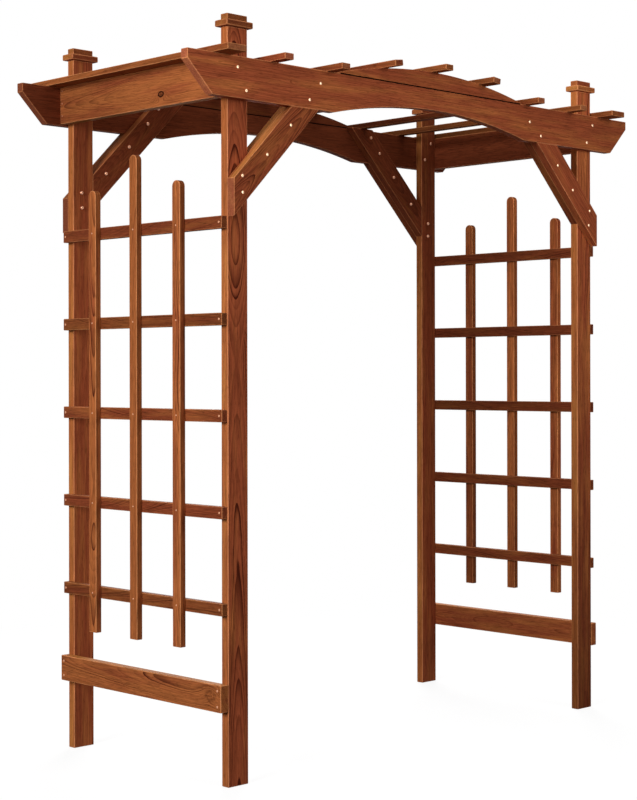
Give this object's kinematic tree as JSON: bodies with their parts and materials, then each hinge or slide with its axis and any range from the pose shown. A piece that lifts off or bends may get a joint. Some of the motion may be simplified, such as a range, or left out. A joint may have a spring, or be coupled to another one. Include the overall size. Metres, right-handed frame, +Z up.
{
  "type": "garden arbor",
  "caption": "Free-standing garden arbor of stained softwood: flat posts, arched beams with glued crowns, top slats, knee braces and trellis sides.",
  "frame": {"origin": "on the ground, at the centre of the walkway", "axes": "+X across the walkway to the right, +Y through it to the back, +Z up"},
  "size_m": [1.982, 0.916, 2.136],
  "materials": {
    "stained_board": "red-brown penetrating stain on planed softwood, grain showing, satin",
    "stained_trim": "red-brown penetrating stain on planed softwood strips, grain showing, satin",
    "zinc_screw": "bright zinc-plated steel"
  },
  "bodies": {
    "root": {"post_front_left": "stained_board", "brace_outer_front_left": "stained_board", "brace_inner_front_left": "stained_board", "post_front_right": "stained_board", "brace_outer_front_right": "stained_board", "brace_inner_front_right": "stained_board", "post_back_left": "stained_board", "brace_outer_back_left": "stained_board", "brace_inner_back_left": "stained_board", "post_back_right": "stained_board", "brace_outer_back_right": "stained_board", "brace_inner_back_right": "stained_board", "beam_front": "stained_board", "beam_back": "stained_board", "crown_front": "stained_board", "crown_back": "stained_board", "fascia_left": "stained_board", "fascia_right": "stained_board", "base_board_left": "stained_board", "base_board_right": "stained_board", "collar_front_left": "stained_trim", "cap_front_left": "stained_trim", "collar_front_right": "stained_trim", "cap_front_right": "stained_trim", "collar_back_left": "stained_trim", "cap_back_left": "stained_trim", "collar_back_right": "stained_trim", "cap_back_right": "stained_trim", "slat_1": "stained_trim", "slat_2": "stained_trim", "slat_3": "stained_trim", "slat_4": "stained_trim", "slat_5": "stained_trim", "slat_6": "stained_trim", "slat_7": "stained_trim", "slat_8": "stained_trim", "slat_9": "stained_trim", "rails_left": "stained_trim", "rails_right": "stained_trim", "pickets_left": "stained_trim", "pickets_right": "stained_trim"}
  },
  "joints": []
}
